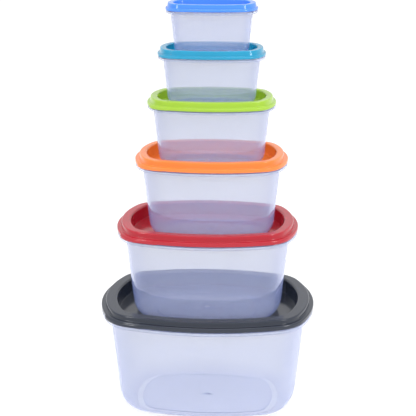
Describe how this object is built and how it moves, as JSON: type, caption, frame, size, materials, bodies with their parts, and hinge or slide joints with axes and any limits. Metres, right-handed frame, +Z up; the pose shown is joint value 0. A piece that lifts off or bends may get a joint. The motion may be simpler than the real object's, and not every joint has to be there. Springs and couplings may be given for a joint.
{
  "type": "snap lid food container set",
  "caption": "Graded tower of rounded-rectangular translucent food tubs, each closed by a coloured snap lid whose sunken top holds the next smaller tub.",
  "frame": {"origin": "centre of the bottom tub's footprint, on the surface it stands on", "axes": "+Z up the tower, +X to the right along the lids' long side, front faces -Y"},
  "size_m": [0.23, 0.1748, 0.4335],
  "materials": {
    "clear_plastic": "frosted translucent, softly glossy",
    "grey_plastic": "softly glossy moulded lid plastic",
    "red_plastic": "softly glossy moulded lid plastic",
    "orange_plastic": "softly glossy moulded lid plastic",
    "green_plastic": "softly glossy moulded lid plastic",
    "teal_plastic": "softly glossy moulded lid plastic",
    "blue_plastic": "softly glossy moulded lid plastic"
  },
  "bodies": {
    "grey_tub": {"grey_tub": "clear_plastic"},
    "grey_lid": {"grey_lid": "grey_plastic"},
    "red_tub": {"red_tub": "clear_plastic"},
    "red_lid": {"red_lid": "red_plastic"},
    "orange_tub": {"orange_tub": "clear_plastic"},
    "orange_lid": {"orange_lid": "orange_plastic"},
    "green_tub": {"green_tub": "clear_plastic"},
    "green_lid": {"green_lid": "green_plastic"},
    "teal_tub": {"teal_tub": "clear_plastic"},
    "teal_lid": {"teal_lid": "teal_plastic"},
    "blue_tub": {"blue_tub": "clear_plastic"},
    "blue_lid": {"blue_lid": "blue_plastic"}
  },
  "joints": [
    {"name": "grey_lid_lift", "type": "slide", "parent": "grey_tub", "child": "grey_lid", "axis": [0, 0, 1], "range_m": [0, 0.05]},
    {"name": "red_tub_lift", "type": "slide", "parent": "grey_lid", "child": "red_tub", "axis": [0, 0, 1], "range_m": [0, 0.05]},
    {"name": "red_lid_lift", "type": "slide", "parent": "red_tub", "child": "red_lid", "axis": [0, 0, 1], "range_m": [0, 0.045]},
    {"name": "orange_tub_lift", "type": "slide", "parent": "red_lid", "child": "orange_tub", "axis": [0, 0, 1], "range_m": [0, 0.045]},
    {"name": "orange_lid_lift", "type": "slide", "parent": "orange_tub", "child": "orange_lid", "axis": [0, 0, 1], "range_m": [0, 0.04]},
    {"name": "green_tub_lift", "type": "slide", "parent": "orange_lid", "child": "green_tub", "axis": [0, 0, 1], "range_m": [0, 0.04]},
    {"name": "green_lid_lift", "type": "slide", "parent": "green_tub", "child": "green_lid", "axis": [0, 0, 1], "range_m": [0, 0.035]},
    {"name": "teal_tub_lift", "type": "slide", "parent": "green_lid", "child": "teal_tub", "axis": [0, 0, 1], "range_m": [0, 0.035]},
    {"name": "teal_lid_lift", "type": "slide", "parent": "teal_tub", "child": "teal_lid", "axis": [0, 0, 1], "range_m": [0, 0.03]},
    {"name": "blue_tub_lift", "type": "slide", "parent": "teal_lid", "child": "blue_tub", "axis": [0, 0, 1], "range_m": [0, 0.03]},
    {"name": "blue_lid_lift", "type": "slide", "parent": "blue_tub", "child": "blue_lid", "axis": [0, 0, 1], "range_m": [0, 0.03]}
  ]
}
